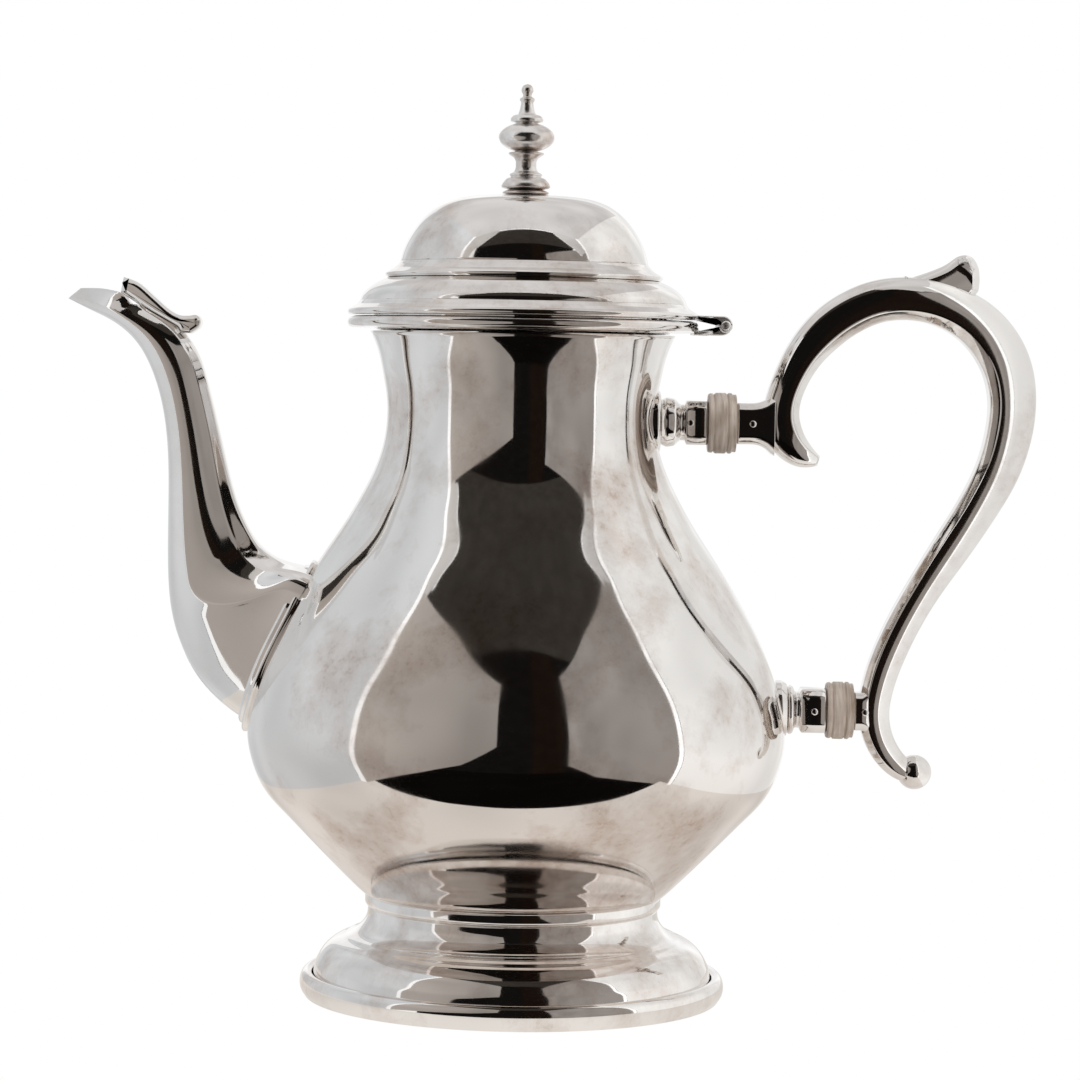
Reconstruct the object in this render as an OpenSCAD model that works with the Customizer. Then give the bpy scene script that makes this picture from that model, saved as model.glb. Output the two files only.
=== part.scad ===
/* [Body] */
// Largest outside radius of the pear-shaped body
belly_r = 75.2; // [74:0.1:76]
// Height of the widest part of the body above the table
belly_z = 75; // [73:0.5:77]
// Smallest outside radius, at the neck
neck_r = 37.5; // [37:0.1:38]
// Height of the narrowest part of the neck
neck_z = 163; // [161:0.5:165]
// Thickness of the spun body wall
wall = 1.2; // [1:0.1:1.4]
// Radius of one strainer hole behind the spout
strainer_r = 1.6; // [1:0.1:1.8]

/* [Foot] */
// Outside radius of the rolled rim that the pot stands on
foot_r = 59.2; // [58.5:0.1:60]
// Height of the rolled rim
foot_rim_h = 6.9; // [6.5:0.1:7.2]

/* [Lid] */
// Gap between the closed lid and the mouth rim
lid_gap = 0.3; // [0.2:0.05:0.5]
// Depth of the lid's inner bezel below the flange
bezel_depth = 4; // [3:0.5:4.5]
// Gap between the bezel and the inside of the mouth
bezel_gap = 0.5; // [0.4:0.1:0.8]

/* [Hinge] */
// Radius of the hinge pin
pin_r = 0.8; // [0.7:0.05:0.9]
// Radial clearance of the knuckle bores on the pin
pin_clear = 0.05; // [0.02:0.01:0.1]
// Overall width of the knuckles
hinge_w = 22; // [18:1:26]
// Gap between neighbouring knuckles
knuckle_gap = 0.15; // [0.1:0.05:0.3]

/* [Handle] */
// Radius of the insulator spigots that enter the sockets
spigot_r = 3.5; // [3.2:0.1:3.8]
// Length of each spigot
spigot_l = 7.5; // [6:0.5:7.5]
// Radius of the cross pins that hold the insulators
rivet_r = 1; // [0.8:0.1:1.1]
// Width across flats of the eight-sided sockets
socket_af = 12.3; // [11.8:0.1:12.6]

/* [Hidden] */
$fn = 96;
bond = 0.05;                     // solder or cement film between fixed pieces
rim_bottom = 186;                // top edge of the body's neck
rim_top = 189.2;
mouth_in_r = 41.9;
rim_r = 49.2;
lid_base = rim_top + lid_gap;
foot_in_r = 54;                  // radius of the recess under the rolled rim
foot_top = 24.9;                 // where the pedestal meets the collar
floor_z = 26;                    // underside of the body's floor
steps = 6;                       // samples between two outline points

// ---------- helpers ----------
// One point on a smooth curve from b to c, with a and d as its neighbours.
function blend(a, b, c, d, t) =
    0.5 * (2 * b + (c - a) * t + (2 * a - 5 * b + 4 * c - d) * t * t
           + (3 * b - a - 3 * c + d) * t * t * t);

// A smooth curve through every point of a list; the points may have any length.
function smooth(p, n = steps) = [
    for (i = [0 : len(p) - 2], k = [0 : n - 1])
        blend(p[max(i - 1, 0)], p[i], p[i + 1], p[min(i + 2, len(p) - 1)], k / n),
    p[len(p) - 1]];

function unit(v) = v / norm(v);
function backwards(p) = [for (i = [len(p) - 1 : -1 : 0]) p[i]];
function arc(centre, r, from, to, n = 8) =
    [for (i = [0 : n]) let (a = from + (to - from) * i / n) centre + r * [cos(a), sin(a)]];

// The same outline moved sideways by t, to the left of its direction.
function beside(p, t) = [
    for (i = [0 : len(p) - 1])
        let (d = unit(p[min(i + 1, len(p) - 1)] - p[max(i - 1, 0)]))
        p[i] + t * [-d[1], d[0]]];

// A spun sheet wall: the outside outline, foot to top, thickened inwards.
module spun(outline, t) {
    rotate_extrude() polygon(concat(outline, backwards(beside(outline, t))));
}

module turned(outline) {
    rotate_extrude() polygon(outline);
}

// A flat-ended cutter on the pot's axis, from z0 up to z1.
module level_cut(z0, z1) {
    translate([0, 0, z0]) cylinder(r = belly_r + 5, h = z1 - z0);
}

// A closed skin over a list of rings that all have the same number of points.
module skin(rings) {
    n = len(rings[0]);
    last = (len(rings) - 1) * n;
    sides = [for (i = [0 : len(rings) - 2], j = [0 : n - 1], half = [0, 1])
        let (a = i * n + j, b = i * n + (j + 1) % n)
        half == 0 ? [a, b + n, a + n] : [a, b, b + n]];
    ends = [[for (j = [n - 1 : -1 : 0]) j], [for (j = [0 : n - 1]) last + j]];
    polyhedron([for (r = rings) each r], concat(sides, ends), convexity = 8);
}

// A shape drawn in X and Z, given a width along Y.
module side_plate(outline, width, y = 0) {
    translate([0, y + width / 2, 0]) rotate([90, 0, 0])
        linear_extrude(width) polygon(outline);
}

// A bar with flats along X; the width across flats is af.
module eight_bar(x0, x1, z, af) {
    translate([x0, 0, z]) rotate([0, 90, 0]) rotate([0, 0, 22.5])
        cylinder(r = af / 2 / cos(22.5), h = x1 - x0, $fn = 8);
}

// A round bar or bore along X.
module bar(x0, x1, z, r) {
    translate([x0, 0, z]) rotate([0, 90, 0]) cylinder(r = r, h = x1 - x0);
}

// A round bar or bore along Y, centred on the middle plane.
module cross_bar(x, z, r, length) {
    translate([x, length / 2, z]) rotate([90, 0, 0]) cylinder(r = r, h = length);
}

// A turned piece whose axis lies along X at height z; outline is [radius, x].
module turned_along_x(outline, z) {
    translate([0, 0, z]) rotate([0, 90, 0]) rotate_extrude() polygon(outline);
}

// ---------- body ----------
// Shoulder points as fractions of the way down and out from neck to belly.
shoulder = [[0.83, 0.92], [0.659, 0.737], [0.489, 0.501], [0.318, 0.244], [0.148, 0.053]];
body_line = smooth(concat(
    [[0, floor_z], [20, floor_z], [34, floor_z], [39.5, 27], [43.2, 29.8], [52.2, 38.6],
     [63, 49.6], [70, 57], [73.8, 65], [belly_r, belly_z]],
    [for (s = shoulder) [neck_r + (belly_r - neck_r) * s[1], neck_z - (neck_z - belly_z) * s[0]]],
    [[neck_r, neck_z], [39.2, 174.5], [mouth_in_r + wall, rim_bottom]]));

module body_solid(grow = 0) {
    outline = beside(body_line, -grow);
    top = outline[len(outline) - 1];
    rotate_extrude($fn = 240) polygon(concat([[0, outline[0][1]]], outline, [[0, top[1]]]));
}

// The line along which the spout leaves the body, tilted up from level.
root = [-68.9, 97.5];
root_tilt = -69.3;
module at_root() {
    translate([root[0], 0, root[1]]) rotate([0, root_tilt, 0]) children();
}

// Strainer: rows of holes pierced through the wall inside the spout's root.
hole_pitch = 5.4;
module strainer_holes() {
    for (row = [-3 : 3])
        for (col = [-2 : 2])
            let (x = row * hole_pitch * 0.87, y = (col + (abs(row) % 2) / 2) * hole_pitch)
            if (pow(x / 19, 2) + pow(y / 10.5, 2) < 1)
                at_root() translate([x, y, -12]) cylinder(r = strainer_r, h = 30, $fn = 32);
}

module body_shell() {
    color("silver") difference() {
        spun(body_line, wall);
        strainer_holes();
        level_cut(rim_bottom, rim_top);
    }
}

// The half-round outer edge of the rim; grown a little, it trims the hinge leaf.
rim_round = (rim_top - rim_bottom) / 2;
function rim_edge(grow = 0) =
    arc([rim_r - rim_round, rim_top - rim_round], rim_round + grow, 90, -90);

module mouth_rim() {
    color("silver") turned(concat([[mouth_in_r, rim_bottom], [mouth_in_r, rim_top]], rim_edge()));
}

// ---------- foot ----------
module foot_collar() {
    color("silver") difference() {
        turned([[36, foot_top], [40.6, foot_top], [41.3, 25.8], [41.3, 28.2], [40.9, 28.6], [36, 28.6]]);
        body_solid(bond);
    }
}

scotia = arc([48.2, 24.6], 7.9, 195, 256, 10);
seam_z = 4.6;                    // where the pedestal stands in the rolled rim
pedestal_line = concat(
    [[foot_r - 3.4, seam_z]],
    smooth([[55, 8.7], [53.1, 12.2], [50.4, 14.8], [47.2, 16.3]]),
    backwards(scotia), [[40.4, foot_top]]);

module foot_pedestal() {
    color("silver") difference() {
        spun(pedestal_line, wall);
        level_cut(-1, seam_z);
        level_cut(foot_top, foot_top + 5);
    }
}

module foot_rim() {
    half_w = 2.05;
    mid_z = 3.6;
    mid_r = foot_r - half_w;
    bead = [for (a = [-60 : 10 : 130]) [mid_r + half_w * cos(a), mid_z + (foot_rim_h - mid_z) * sin(a)]];
    color("silver") turned(concat([[foot_in_r, 0], [mid_r + 0.6, 0]], bead,
                                  [[foot_r - 3.35, seam_z - bond], [foot_in_r, seam_z - bond]]));
}

// ---------- spout ----------
row = 4;                         // samples between two rows of the spout
// Each row is [front x, front z, back x, back z, half width].
spout_line = smooth([
    [-66, 72, -48, 112, 15.5], [-76, 75.5, -56, 118, 15.2], [-84.5, 81.8, -62.5, 119.5, 14],
    [-91, 89.5, -67.5, 121, 12.6], [-95.5, 99.5, -72.2, 124.2, 11.2],
    [-97.6, 110, -75.6, 129.4, 10.1], [-98.2, 121, -78.8, 136, 9.2],
    [-98.3, 133, -81.2, 144, 8.4], [-98.4, 145, -83.3, 152.5, 7.8],
    [-99.2, 156.5, -85.5, 161, 7.3], [-101.2, 166.5, -87.8, 169.8, 7],
    [-104.3, 175, -90.6, 178.4, 6.9], [-108.4, 181.6, -96.4, 186, 6.8],
    [-114.4, 186.5, -104, 190.2, 6.6], [-121, 189.5, -112, 195.6, 5.4],
    [-127.4, 192.6, -123.8, 195.6, 1.6]], row);

// Half of the panelled section: [fraction from front to back, fraction of half width].
panel = [[0, 0.3], [0.09, 0.7], [0.32, 1], [0.8, 0.94], [0.95, 0.62], [1, 0.26]];
section = concat(panel, [for (i = [len(panel) - 1 : -1 : 0]) [panel[i][0], -panel[i][1]]]);

// A ring of the spout, shrunk by t all round. As u goes from 0 to 1 the back
// of the section widens, so that the beak's section is an open U.
function spout_ring(s, t, u) =
    let (front = [s[0], s[1]], back = [s[2], s[3]], d = unit(back - front),
         depth = norm(back - front) - 2 * t, w = max(s[4] - t, 0.4))
    [for (p = section)
        let (q = front + d * (t + depth * p[0]), side = sign(p[1]),
             wide = p[0] > 0.5 ? abs(p[1]) + (1 - abs(p[1])) * u : abs(p[1]))
        [q[0], w * wide * side, q[1]]];

// The beak widens from one row to the next, and there the channel's back is
// lifted clear of the metal, which opens the mouth.
beak_from = 13 * row;
mouth_from = 14 * row - 1;
function beak(i) = min(max((i - beak_from) / row, 0), 1);
function opened(s, i) =
    let (lift = max(i - mouth_from, 0) * 1.8, d = unit([s[2] - s[0], s[3] - s[1]]))
    [s[0], s[1], s[2] + d[0] * lift, s[3] + d[1] * lift, s[4]];

module spout_outside() {
    skin([for (i = [0 : len(spout_line) - 1]) spout_ring(spout_line[i], 0, beak(i))]);
}

module spout_inside() {
    skin([for (i = [0 : len(spout_line) - 3]) spout_ring(opened(spout_line[i], i), 1.3, beak(i))]);
}

module spout_tube() {
    color("silver") difference() {
        spout_outside();
        spout_inside();
        body_solid(bond);
    }
}

module spout_flange() {
    long_r = 25.7;
    wide_r = 17.6;
    color("silver") difference() {
        intersection() {
            at_root() translate([0, 0, -20]) linear_extrude(40)
                polygon([for (a = [0 : 7.5 : 352.5]) [long_r * cos(a), wide_r * sin(a)]]);
            body_solid(2.6);
        }
        body_solid(bond);
        at_root() translate([0, 0, -21]) linear_extrude(42)
            polygon([for (a = [0 : 7.5 : 352.5]) [(long_r - 3) * cos(a), (wide_r - 2.4) * sin(a)]]);
        spout_outside();
    }
}

module spout_scroll() {
    top = smooth([[-111.8, 198.9], [-107.4, 197.2], [-103, 193.5], [-98.9, 190], [-96, 188.5],
                  [-93.3, 188.4], [-91.3, 188.6], [-90, 187.2], [-90.4, 185.2], [-92.8, 183.4]], 4);
    under = [[-95.8, 183.6], [-96.6, 185], [-104, 189], [-112.6, 194.6]];
    color("silver") difference() {
        side_plate(concat(top, under), 8.4);
        spout_outside();
    }
}

// ---------- handle ----------
upper_z = 161;
lower_z = 81.2;
upper_x = [37.4, 38.9, 52.1, 60.1];   // body, socket, insulator, handle stub
lower_x = [73.4, 75.6, 86.6, 94.2];
stub_af = 11.5;
rivet_len = 12.7;

// Rivet places, one through each socket and one through each handle stub.
rivets = [[upper_x[2] - 4.9, upper_z], [upper_x[3] + 4.4, upper_z],
          [lower_x[2] - 3.5, lower_z], [lower_x[3] + 3, lower_z]];

module boss(x, z, r) {
    color("silver") difference() {
        turned_along_x([[0, x[0] - 4], [r, x[0] - 4], [r, x[0] + 0.7], [r - 0.8, x[1]], [0, x[1]]], z);
        body_solid(bond);
    }
}
module upper_boss() { boss(upper_x, upper_z, 9.1); }
module lower_boss() { boss(lower_x, lower_z, 8.1); }

// A socket: a turned bead and waist next to the boss, then the eight-sided cup.
module socket(x, z, bead, rivet) {
    waist = x[1] + bead;
    color("silver") difference() {
        union() {
            turned_along_x([[0, x[1]], [6.2, x[1]], [7, x[1] + bead * 0.3], [6.6, x[1] + bead * 0.7],
                            [5, waist], [5, waist + 1], [5.8, waist + 1.6], [0, waist + 1.6]], z);
            eight_bar(waist + 0.9, x[2], z, socket_af);
        }
        bar(x[2] - spigot_l - 0.4, x[2] + 1, z, spigot_r + bond);
        cross_bar(rivet[0], z, rivet_r + bond, 20);
    }
}
module upper_socket() { socket(upper_x, upper_z, 5.6, rivets[0]); }
module lower_socket() { socket(lower_x, lower_z, 2.4, rivets[2]); }

// An insulator: a ringed collar with a spigot at each end, drilled for its rivets.
module insulator(x, z, r, pins) {
    w = x[3] - x[2];
    ring = [[r - 0.5, 0], [r - 0.2, 0.06], [r - 0.2, 0.16], [r - 0.6, 0.2], [r, 0.26], [r, 0.62],
            [r - 0.5, 0.67], [r, 0.72], [r, 0.82], [r - 0.5, 0.87], [r - 0.4, 0.99], [r - 0.8, 1]];
    color("wheat") difference() {
        union() {
            turned_along_x(concat([[0, x[2] + bond]],
                [for (p = ring) [p[0], x[2] + bond + p[1] * (w - 2 * bond)]], [[0, x[3] - bond]]), z);
            bar(x[2] - spigot_l, x[3] + spigot_l, z, spigot_r);
        }
        for (p = pins) cross_bar(p[0], z, rivet_r + bond, 20);
    }
}
module upper_insulator() { insulator(upper_x, upper_z, 8.5, [rivets[0], rivets[1]]); }
module lower_insulator() { insulator(lower_x, lower_z, 8, [rivets[2], rivets[3]]); }

module rivet_pins() {
    color("silver") for (p = rivets) cross_bar(p[0], p[1], rivet_r, rivet_len);
}

// Middle line of the scroll, from the short lobe over the top to the tail.
// Each row is [x, z, depth in the scroll's plane, width across it].
handle_line = smooth([
    [83.2, 150.9, 3, 5], [79.6, 152, 7, 8], [75.8, 154.6, 9.4, 10], [73, 159, 10.6, 11],
    [72.4, 164.6, 10, 11.2], [74, 171.2, 9.6, 11.2], [78, 179.6, 10.4, 11.2], [83.4, 186.4, 11.6, 11.4],
    [90, 191.8, 12, 11.6], [98.2, 195.7, 12, 11.8], [107.3, 196.9, 12.1, 12], [117, 195.4, 12.4, 12.2],
    [126, 191.1, 13.4, 12.4], [132.5, 184.4, 13.9, 12.6], [136.2, 176.6, 13.8, 12.6],
    [137.4, 167.8, 13.2, 12.4], [136.4, 158.6, 12.9, 12], [133.4, 148.6, 12.2, 11.6],
    [127.6, 137.6, 11.2, 11.2], [120.6, 126.6, 10.6, 10.8], [114, 116.4, 9.6, 10.6],
    [108.4, 106.6, 9.3, 10.4], [104, 97, 9.2, 10.2], [101.2, 88.6, 8.9, 10.2],
    [100, 80.6, 8.6, 10], [101.4, 73.6, 8.2, 9.4], [104.4, 68.4, 7.6, 8.8], [108.4, 64.8, 6.6, 8.2]], 4);

// The grip's section: rounded back, flat sides, narrow inner chamfers.
// Each pair is [fraction of depth towards the outside, fraction of half width].
grip = [[0.5, 0.36], [0.36, 0.78], [0.1, 1], [-0.28, 1], [-0.5, 0.52]];
grip_loop = concat(grip, [for (i = [len(grip) - 1 : -1 : 0]) [grip[i][0], -grip[i][1]]]);

function handle_ring(i) =
    let (a = handle_line[max(i - 1, 0)], b = handle_line[min(i + 1, len(handle_line) - 1)],
         s = handle_line[i], d = unit([b[0] - a[0], b[1] - a[1]]))
    [for (p = grip_loop) [s[0] - d[1] * p[0] * s[2], p[1] * s[3] / 2, s[1] + d[0] * p[0] * s[2]]];

module handle() {
    color("silver") difference() {
        union() {
            skin([for (i = [0 : len(handle_line) - 1]) handle_ring(i)]);
            eight_bar(upper_x[3], 71.5, upper_z, stub_af);
            eight_bar(lower_x[3], 99.5, lower_z, 10.6);
            translate([111.7, 0, 64.3]) sphere(r = 4.8, $fn = 48);
        }
        bar(upper_x[3] - 1, upper_x[3] + spigot_l + 0.4, upper_z, spigot_r + bond);
        bar(lower_x[3] - 1, lower_x[3] + spigot_l + 0.4, lower_z, spigot_r + bond);
        cross_bar(rivets[1][0], upper_z, rivet_r + bond, 20);
        cross_bar(rivets[3][0], lower_z, rivet_r + bond, 20);
    }
}

// The thumb spur stands on the scroll's back and points up.
module thumb_spur() {
    top = smooth([[106, 203.4], [112, 204.2], [117.5, 206.2], [121.6, 208.9], [125, 208.9],
                  [127, 206.2], [127.5, 202.6], [127.2, 199.2]], 4);
    color("silver") difference() {
        side_plate(concat(top, [[124, 195], [108, 199]]), 5);
        skin([for (i = [0 : len(handle_line) - 1]) handle_ring(i)]);
    }
}

// ---------- hinge ----------
hinge_x = 56.2;
hinge_z = 188.15;
leaf_end_x = 52.6;
eye_r = 1.9;
third = hinge_w / 5;

// Side view of one knuckle: up is 1 for the lid's arm and -1 for the body's.
function knuckle_line(up) =
    [for (p = concat([[48, 1.45], [53.4, 1.45], [54.4, 0.9], [54.4, 0]],
                     backwards([for (q = arc([55.45, 0], 2.65, 90, 0)) q]), [[48, 2.65]]))
        [p[0], hinge_z + up * p[1]]];

module knuckle(up, y, width) {
    side_plate(knuckle_line(up), width, y);
    translate([hinge_x, y + width / 2, hinge_z]) rotate([90, 0, 0]) cylinder(r = eye_r, h = width);
}

module leaf_plate(up) {
    low = min(hinge_z + up * 1.45, hinge_z + up * 2.65);
    translate([46.5, -hinge_w / 2, low]) cube([leaf_end_x - 46.5, hinge_w, 1.2]);
}

module hinge_body_leaf() {
    color("silver") difference() {
        union() {
            leaf_plate(-1);
            for (s = [-1, 1]) knuckle(-1, s * third, third - knuckle_gap * 2);
        }
        cross_bar(hinge_x, hinge_z, pin_r + pin_clear, 40);
        turned(concat([[0, rim_bottom - bond], [0, rim_top + bond]], rim_edge(bond)));
    }
}

module hinge_lid_leaf() {
    color("silver") difference() {
        union() {
            leaf_plate(1);
            for (s = [-2, 0, 2]) knuckle(1, s * third, third);
        }
        cross_bar(hinge_x, hinge_z, pin_r + pin_clear, 40);
        turned(concat([[0, lid_base - bond]], flange_edge(bond), [[0, lid_base + 3]]));
    }
}

module hinge_pin() {
    color("silver") {
        cross_bar(hinge_x, hinge_z, pin_r, hinge_w + 0.6);
        for (s = [-1, 1]) translate([hinge_x, s * (hinge_w / 2 + 0.3), hinge_z]) rotate([-90 * s, 0, 0])
            rotate_extrude() polygon([[0, -0.15], [1.4, -0.15], [1.4, 0.1], [1, 0.5], [0, 0.65]]);
    }
}

// ---------- lid ----------
dome_z = 204.8;                  // where the dome meets its step
dome_line = smooth([[34.7, dome_z], [34.2, 207.2], [33.2, 209.9], [31.6, 212.9], [29.6, 215.8],
                    [27.2, 218.4], [24.4, 220.5], [20.6, 222.2], [15.4, 223.2], [8, 223.6], [0, 223.6]]);
dome_t = 1;
stud_r = 1.5;

module stud_hole(z0, z1) {
    translate([0, 0, z0]) cylinder(r = stud_r + bond, h = z1 - z0);
}

module lid_dome() {
    color("silver") difference() {
        spun(dome_line, dome_t);
        stud_hole(220, 226);
        level_cut(dome_z - 3, dome_z);
    }
}

module lid_step() {
    color("silver") turned([[33.7, skirt_top], [38.2, skirt_top], [38.9, 200.9], [38.9, 201.4], [36.6, 202.7],
                            [35.3, 203.9], [34.7, dome_z], [33.7, dome_z]]);
}

skirt_z = 193.7;                 // where the skirt rises from the flange
skirt_top = 200.1;
module lid_skirt() {
    color("silver") difference() {
        spun(smooth([[45.7, skirt_z], [45.1, 195.2], [43.6, 197], [41.2, 198.7], [38.2, skirt_top]], 4), 1.1);
        level_cut(skirt_z - 3, skirt_z);
        level_cut(skirt_top, skirt_top + 3);
    }
}

// The rounded edge of the lid's flange; grown a little, it trims the hinge leaf.
flange_round = 1;
function flange_edge(grow = 0) =
    arc([rim_r - flange_round, lid_base + flange_round], flange_round + grow, -90, 80);

module lid_flange() {
    color("silver") turned(concat(
        [[mouth_in_r - bezel_gap + bond, lid_base]],
        flange_edge(),
        [[46.6, lid_base + 3], [45.7, skirt_z], [44.4, skirt_z - 0.2], [44.6, lid_base + 2],
         [mouth_in_r - bezel_gap + bond, lid_base + 1.6]]));
}

module lid_bezel() {
    r = mouth_in_r - bezel_gap;
    color("silver") turned([[r - 1.2, lid_base - bezel_depth], [r - 0.4, lid_base - bezel_depth],
                            [r, lid_base - bezel_depth + 0.8], [r, lid_base + 1.2], [r - 1.2, lid_base + 1.2]]);
}

// ---------- finial ----------
bulb = [for (a = [-68 : 8 : 68]) [7.8 * cos(a), 240 + 4.25 * sin(a)]];
module finial_knob() {
    color("silver") difference() {
        turned(concat(
            [[0, 225.4], [5, 225.4], [6.6, 225.8], [6.9, 226.2], [6.5, 227.2], [5.5, 228.4], [4.2, 228.9],
             [4.6, 229.4], [4.5, 229.8], [3.3, 230.4], [2.9, 231.6], [2.9, 233.2], [3.4, 234.2],
             [4.9, 235.2], [5, 235.7]],
            bulb,
            [[4.6, 244.4], [4.6, 245.3], [3.9, 246.1], [2.5, 246.5], [2.1, 247.6], [1.8, 249],
             [1.7, 249.8], [2.1, 250.3], [2.1, 250.9], [1.2, 251.4], [1.2, 252], [1.7, 252.9],
             [1.6, 253.9], [1, 254.7], [0, 255]]));
        stud_hole(225, 232.5);
    }
}

module finial_seat() {
    color("silver") difference() {
        turned([[0, 223.6 + bond], [5.2, 223.6 + bond], [6.5, 224.3], [6.5, 224.7], [5, 225.3], [0, 225.3]]);
        stud_hole(223, 226);
    }
}

module finial_stud() {
    color("tan") translate([0, 0, 217.2]) cylinder(r = stud_r, h = 15);
}

module finial_washer() {
    color("tan") difference() {
        translate([0, 0, 221.6]) cylinder(r = 4.5, h = 0.9);
        stud_hole(221, 223);
    }
}

module finial_nut() {
    color("tan") difference() {
        translate([0, 0, 219.1]) cylinder(r = 3.2, h = 2.4, $fn = 6);
        stud_hole(218, 222);
    }
}

body_shell();
mouth_rim();
foot_collar();
foot_pedestal();
foot_rim();
spout_tube();
spout_flange();
spout_scroll();
upper_boss();
upper_socket();
upper_insulator();
lower_boss();
lower_socket();
lower_insulator();
handle();
thumb_spur();
rivet_pins();
hinge_body_leaf();
hinge_pin();
hinge_lid_leaf();
lid_dome();
lid_step();
lid_skirt();
lid_flange();
lid_bezel();
finial_seat();
finial_knob();
finial_stud();
finial_washer();
finial_nut();
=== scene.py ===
# %% [markdown]
# # Silver coffee pot
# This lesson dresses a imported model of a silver-plated coffee pot. The packed
# model is the frame: it says where every part is, in metres, with Z up, the
# spout towards -X and the handle towards +X. Each part is made again here as a
# smooth surface, because a polished mirror shows every facet of a coarse mesh.

# %% Load the frame
import math

import bmesh
import bpy
import numpy as np
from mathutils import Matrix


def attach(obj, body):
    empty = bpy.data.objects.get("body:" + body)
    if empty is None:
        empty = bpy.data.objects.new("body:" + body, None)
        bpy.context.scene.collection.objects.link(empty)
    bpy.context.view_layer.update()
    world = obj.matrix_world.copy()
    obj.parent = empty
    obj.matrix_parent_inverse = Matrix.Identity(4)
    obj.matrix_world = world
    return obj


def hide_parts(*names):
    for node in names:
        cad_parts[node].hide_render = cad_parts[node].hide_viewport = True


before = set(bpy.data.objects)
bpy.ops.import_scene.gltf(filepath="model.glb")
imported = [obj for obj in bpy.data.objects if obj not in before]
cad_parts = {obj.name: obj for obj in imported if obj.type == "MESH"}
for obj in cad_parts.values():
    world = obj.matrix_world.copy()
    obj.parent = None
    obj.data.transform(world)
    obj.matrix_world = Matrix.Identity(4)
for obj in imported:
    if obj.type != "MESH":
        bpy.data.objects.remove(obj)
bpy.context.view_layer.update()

# %% [markdown]
# ## Lines
# A silversmith works to a drawn profile, and so does this script. A profile is
# an array of points in millimetres. Three helpers are enough to draw one: a
# smooth curve through points, a fair copy with its curvature evened out, and a
# copy whose corners are eased, because no polished edge is ever quite sharp.

# %% Helpers for lines
MM = 0.001


def curve(points, per=8):
    """A smooth line through all the points. Between neighbours b and c each
    coordinate is a cubic whose end slopes are half of c - a and half of d - b."""
    p = np.asarray(points, float)
    q = np.vstack([p[:1], p, p[-1:]])
    a, b, c, d = (q[i:len(q) - 3 + i, None] for i in range(4))
    t = (np.arange(per) / per)[None, :, None]
    line = 0.5 * (2 * b + (c - a) * t + (2 * a - 5 * b + 4 * c - d) * t**2
                  + (3 * b - a - 3 * c + d) * t**3)
    return np.vstack([line.reshape(-1, p.shape[1]), p[-1:]])


def evenly(p, step):
    """The same line with its points one step apart, measured along it."""
    s = np.r_[0, np.cumsum(np.linalg.norm(np.diff(p, axis=0), axis=1))]
    t = np.linspace(0, s[-1], max(2, round(s[-1] / step) + 1))
    return np.stack([np.interp(t, s, p[:, k]) for k in range(p.shape[1])], 1)


def faired(p, reach):
    """Each point becomes the bell-weighted mean of its neighbours. The line is
    mirrored through its own end points first, so the ends stay in place."""
    k = np.arange(-3 * reach, 3 * reach + 1)
    w = np.exp(-0.5 * (k / reach)**2)
    w, pad = w / w.sum(), 3 * reach
    q = np.vstack([2 * p[0] - p[pad:0:-1], p, 2 * p[-1] - p[-2:-pad - 2:-1]])
    return np.stack([np.convolve(q[:, i], w, "valid") for i in range(p.shape[1])], 1)


def eased(points, r, steps=4, closed=False):
    """Corners replaced by parabolas. Each starts r before its corner and ends r
    after it, or at 48 hundredths of a side if the side is short. The points may
    be one line or a whole stack of lines with the same number of corners."""
    p = np.asarray(points, float)
    r = np.broadcast_to(np.asarray(r, float), p.shape[-2:-1])[:, None]

    def towards(q):
        d = q - p
        length = np.linalg.norm(d, axis=-1, keepdims=True) + 1e-9
        return p + d / length * np.minimum(r, 0.48 * length)
    a, c = towards(np.roll(p, 1, -2)), towards(np.roll(p, -1, -2))
    t = np.linspace(0, 1, steps + 1)[:, None]
    q = ((1 - t)**2 * a[..., None, :] + 2 * t * (1 - t) * p[..., None, :]
         + t**2 * c[..., None, :])
    if closed:
        return q.reshape(*p.shape[:-2], -1, p.shape[-1])
    inner = q[..., 1:-1, :, :].reshape(*p.shape[:-2], -1, p.shape[-1])
    return np.concatenate([p[..., :1, :], inner, p[..., -1:, :]], -2)


def dense(p, longest):
    """The same line with extra points, so that no side is longer than longest."""
    step = np.linalg.norm(np.diff(p, axis=0), axis=1)
    n = np.maximum(1, np.ceil(step / longest)).astype(int)
    i = np.repeat(np.arange(len(n)), n)
    t = (np.arange(n.sum()) - np.repeat(np.cumsum(n) - n, n)) / n[i]
    line = p[i] + (p[i + 1] - p[i]) * t[:, None]
    return np.vstack([line, p[-1:]])


def beside(p, t):
    """The line moved sideways by t, to the left of its own direction."""
    d = np.gradient(p, axis=0)
    d = d / (np.linalg.norm(d, axis=1, keepdims=True) + 1e-12)
    return p + t * np.stack([-d[:, 1], d[:, 0]], 1)


def arc(cx, cy, r, start, end, n=12):
    """Points on a circle, angles in degrees."""
    a = np.radians(np.linspace(start, end, n + 1))
    return np.stack([cx + r * np.cos(a), cy + r * np.sin(a)], 1)


quarter = arc(0, 0, 1, 0, 90)
length = np.linalg.norm(np.diff(quarter, axis=0), axis=1).sum()
print("a quarter circle of radius 1 measures", round(float(length), 3))

# %% [markdown]
# ## Surfaces
# Every shape in this pot is a grid of points: rows run along the piece and
# columns run around it. One function turns a grid into a closed mesh, and it
# uses the signed volume to make sure that the faces look outwards.

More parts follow.
